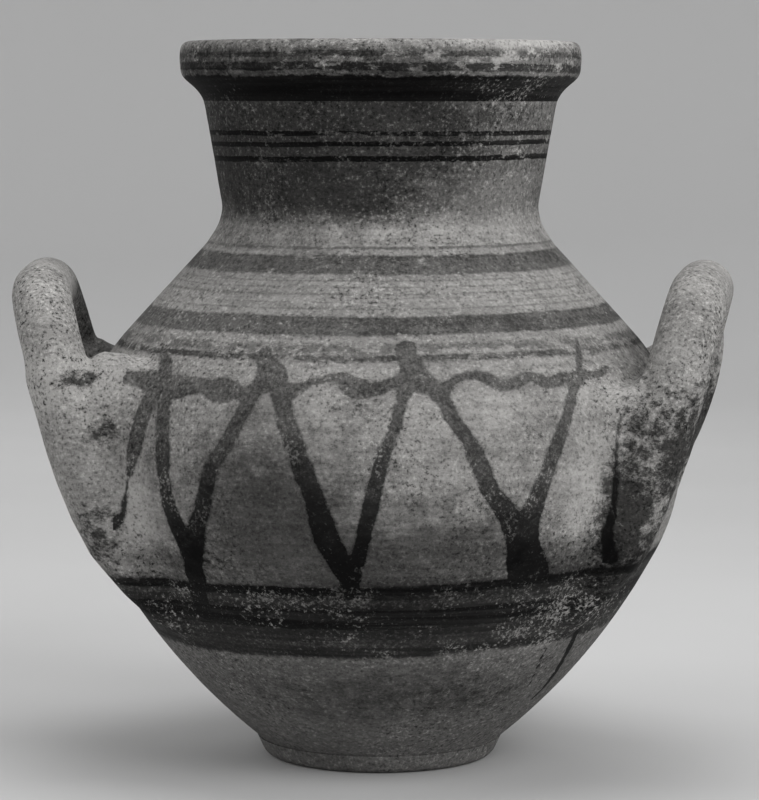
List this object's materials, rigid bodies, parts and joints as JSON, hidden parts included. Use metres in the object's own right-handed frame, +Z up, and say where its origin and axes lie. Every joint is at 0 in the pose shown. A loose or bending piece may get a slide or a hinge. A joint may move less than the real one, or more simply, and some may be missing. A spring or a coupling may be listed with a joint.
{
  "type": "storage jar",
  "caption": "Wide-mouthed ceramic storage jar: round belly, small disc foot, flaring neck with a thick rim, upright loop handles, painted bands, wavy line and zigzag.",
  "frame": {"origin": "middle of the foot's underside, on the jar's axis", "axes": "+Z up along the jar's axis; the handles stand towards -X and +X; -Y is the front, the side that the picture shows"},
  "size_m": [0.4572, 0.381, 0.45],
  "materials": {
    "body_clay": "matt gritty clay with dark painted bands, wavy line and zigzag strokes",
    "neck_clay": "matt gritty clay with a worn dark wash",
    "handle_clay": "matt gritty clay, darker and worn towards the roots",
    "foot_clay": "matt rough clay"
  },
  "bodies": {
    "root": {"base_disc": "foot_clay", "floor_coil": "foot_clay", "lower_wall": "body_clay", "rising_wall": "body_clay", "lower_belly_wall": "body_clay", "upper_belly_wall": "body_clay", "shoulder_wall": "body_clay", "neck_collar": "neck_clay", "neck_wall": "neck_clay", "rim_coil": "neck_clay", "handle_left": "handle_clay", "left_front_wad": "handle_clay", "left_back_wad": "handle_clay", "handle_right": "handle_clay", "right_front_wad": "handle_clay", "right_back_wad": "handle_clay"}
  },
  "joints": []
}
